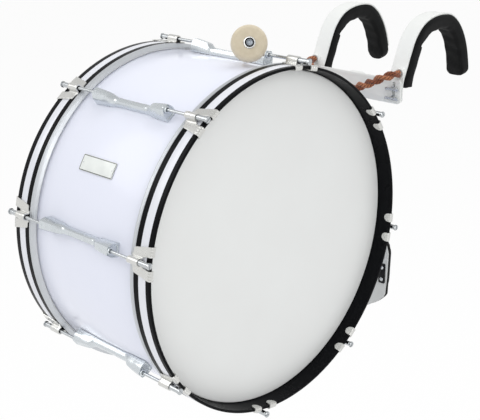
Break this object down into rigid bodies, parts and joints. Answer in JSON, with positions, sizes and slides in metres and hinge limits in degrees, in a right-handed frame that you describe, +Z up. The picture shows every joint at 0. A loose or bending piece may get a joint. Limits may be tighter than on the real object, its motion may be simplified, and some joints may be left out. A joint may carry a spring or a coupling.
{
  "type": "marching bass drum",
  "caption": "Marching bass drum with striped wooden hoops, claw hooks and tension rods, on a shoulder carrier with foam-padded hooks and a belly rest, its felt mallet laid on top.",
  "frame": {"origin": "between the two shoulder pads, where the wearer's shoulders carry the whole thing", "axes": "+Z up as worn, +X along the drum's axis out of its front head, +Y from the drum towards the wearer; left is -X and right is +X, as seen from the side away from the wearer"},
  "size_m": [0.3826, 0.971, 0.7037],
  "materials": {
    "white_lacquer": "gloss white lacquer on a wooden shell",
    "head_film": "smooth white polyester film",
    "flesh_hoop_metal": "satin",
    "black_hoop_wood": "gloss black lacquer with a white inlay",
    "chrome": "polished chrome on die-cast metal",
    "rod_steel": "bright plated steel",
    "badge_metal": "satin, bare",
    "white_coat": "white powder coat",
    "black_foam": "closed-cell foam, fine grained",
    "cord_fibre": "twisted cotton, orange brown",
    "felt": "pressed wool felt, cream",
    "maple": "clear lacquered maple"
  },
  "bodies": {
    "drum": {"shell": "white_lacquer", "front_head": "head_film", "front_flesh_hoop": "flesh_hoop_metal", "front_hoop": "black_hoop_wood", "rear_head": "head_film", "rear_flesh_hoop": "flesh_hoop_metal", "rear_hoop": "black_hoop_wood", "lug_1": "chrome", "lug_2": "chrome", "lug_3": "chrome", "lug_4": "chrome", "lug_5": "chrome", "lug_6": "chrome", "lug_7": "chrome", "lug_8": "chrome", "front_claw_1": "chrome", "front_claw_2": "chrome", "front_claw_3": "chrome", "front_claw_4": "chrome", "front_claw_5": "chrome", "front_claw_6": "chrome", "front_claw_7": "chrome", "front_claw_8": "chrome", "rear_claw_1": "chrome", "rear_claw_2": "chrome", "rear_claw_3": "chrome", "rear_claw_4": "chrome", "rear_claw_5": "chrome", "rear_claw_6": "chrome", "rear_claw_7": "chrome", "rear_claw_8": "chrome", "badge_plate": "badge_metal", "cross_plate": "white_coat", "carrier_spine": "white_coat", "drum_bracket": "white_coat"},
    "front_rod_1": {"front_rod_1": "rod_steel"},
    "front_rod_2": {"front_rod_2": "rod_steel"},
    "front_rod_3": {"front_rod_3": "rod_steel"},
    "front_rod_4": {"front_rod_4": "rod_steel"},
    "front_rod_5": {"front_rod_5": "rod_steel"},
    "front_rod_6": {"front_rod_6": "rod_steel"},
    "front_rod_7": {"front_rod_7": "rod_steel"},
    "front_rod_8": {"front_rod_8": "rod_steel"},
    "rear_rod_1": {"rear_rod_1": "rod_steel"},
    "rear_rod_2": {"rear_rod_2": "rod_steel"},
    "rear_rod_3": {"rear_rod_3": "rod_steel"},
    "rear_rod_4": {"rear_rod_4": "rod_steel"},
    "rear_rod_5": {"rear_rod_5": "rod_steel"},
    "rear_rod_6": {"rear_rod_6": "rod_steel"},
    "rear_rod_7": {"rear_rod_7": "rod_steel"},
    "rear_rod_8": {"rear_rod_8": "rod_steel"},
    "right_hook": {"right_shoulder_hook": "white_coat", "right_shoulder_pad": "black_foam", "twisted_cord": "cord_fibre"},
    "left_hook": {"left_shoulder_hook": "white_coat", "left_shoulder_pad": "black_foam"},
    "belly_rest": {"belly_plate": "white_coat", "belly_pad": "black_foam"},
    "mallet": {"mallet_head": "felt", "mallet_handle": "maple"}
  },
  "joints": [
    {"name": "front_rod_1_turn", "type": "hinge", "parent": "drum", "child": "front_rod_1", "pos_m": [0.137, -0.27767, -0.12427], "axis": [1, 0, 0], "continuous": true},
    {"name": "front_rod_2_turn", "type": "hinge", "parent": "drum", "child": "front_rod_2", "pos_m": [0.137, -0.48914, 0.0038], "axis": [1, 0, 0], "continuous": true},
    {"name": "front_rod_3_turn", "type": "hinge", "parent": "drum", "child": "front_rod_3", "pos_m": [0.137, -0.72923, -0.05517], "axis": [1, 0, 0], "continuous": true},
    {"name": "front_rod_4_turn", "type": "hinge", "parent": "drum", "child": "front_rod_4", "pos_m": [0.137, -0.8573, -0.26664], "axis": [1, 0, 0], "continuous": true},
    {"name": "front_rod_5_turn", "type": "hinge", "parent": "drum", "child": "front_rod_5", "pos_m": [0.137, -0.79833, -0.50673], "axis": [1, 0, 0], "continuous": true},
    {"name": "front_rod_6_turn", "type": "hinge", "parent": "drum", "child": "front_rod_6", "pos_m": [0.137, -0.58686, -0.6348], "axis": [1, 0, 0], "continuous": true},
    {"name": "front_rod_7_turn", "type": "hinge", "parent": "drum", "child": "front_rod_7", "pos_m": [0.137, -0.34677, -0.57583], "axis": [1, 0, 0], "continuous": true},
    {"name": "front_rod_8_turn", "type": "hinge", "parent": "drum", "child": "front_rod_8", "pos_m": [0.137, -0.2187, -0.36436], "axis": [1, 0, 0], "continuous": true},
    {"name": "rear_rod_1_turn", "type": "hinge", "parent": "drum", "child": "rear_rod_1", "pos_m": [-0.137, -0.27767, -0.12427], "axis": [1, 0, 0], "continuous": true},
    {"name": "rear_rod_2_turn", "type": "hinge", "parent": "drum", "child": "rear_rod_2", "pos_m": [-0.137, -0.48914, 0.0038], "axis": [1, 0, 0], "continuous": true},
    {"name": "rear_rod_3_turn", "type": "hinge", "parent": "drum", "child": "rear_rod_3", "pos_m": [-0.137, -0.72923, -0.05517], "axis": [1, 0, 0], "continuous": true},
    {"name": "rear_rod_4_turn", "type": "hinge", "parent": "drum", "child": "rear_rod_4", "pos_m": [-0.137, -0.8573, -0.26664], "axis": [1, 0, 0], "continuous": true},
    {"name": "rear_rod_5_turn", "type": "hinge", "parent": "drum", "child": "rear_rod_5", "pos_m": [-0.137, -0.79833, -0.50673], "axis": [1, 0, 0], "continuous": true},
    {"name": "rear_rod_6_turn", "type": "hinge", "parent": "drum", "child": "rear_rod_6", "pos_m": [-0.137, -0.58686, -0.6348], "axis": [1, 0, 0], "continuous": true},
    {"name": "rear_rod_7_turn", "type": "hinge", "parent": "drum", "child": "rear_rod_7", "pos_m": [-0.137, -0.34677, -0.57583], "axis": [1, 0, 0], "continuous": true},
    {"name": "rear_rod_8_turn", "type": "hinge", "parent": "drum", "child": "rear_rod_8", "pos_m": [-0.137, -0.2187, -0.36436], "axis": [1, 0, 0], "continuous": true},
    {"name": "right_hook_height", "type": "slide", "parent": "drum", "child": "right_hook", "axis": [0, 0, 1], "range_m": [-0.002, 0.01]},
    {"name": "left_hook_height", "type": "slide", "parent": "drum", "child": "left_hook", "axis": [0, 0, 1], "range_m": [-0.002, 0.01]},
    {"name": "belly_rest_height", "type": "slide", "parent": "drum", "child": "belly_rest", "axis": [0, 0, 1], "range_m": [-0.025, 0.025]},
    {"name": "mallet_lift", "type": "slide", "parent": "drum", "child": "mallet", "axis": [0, 0, 1], "range_m": [0, 0.15]}
  ],
  "couplings": [
    {"joint": "left_hook_height", "follows": "right_hook_height", "ratio": 1}
  ]
}
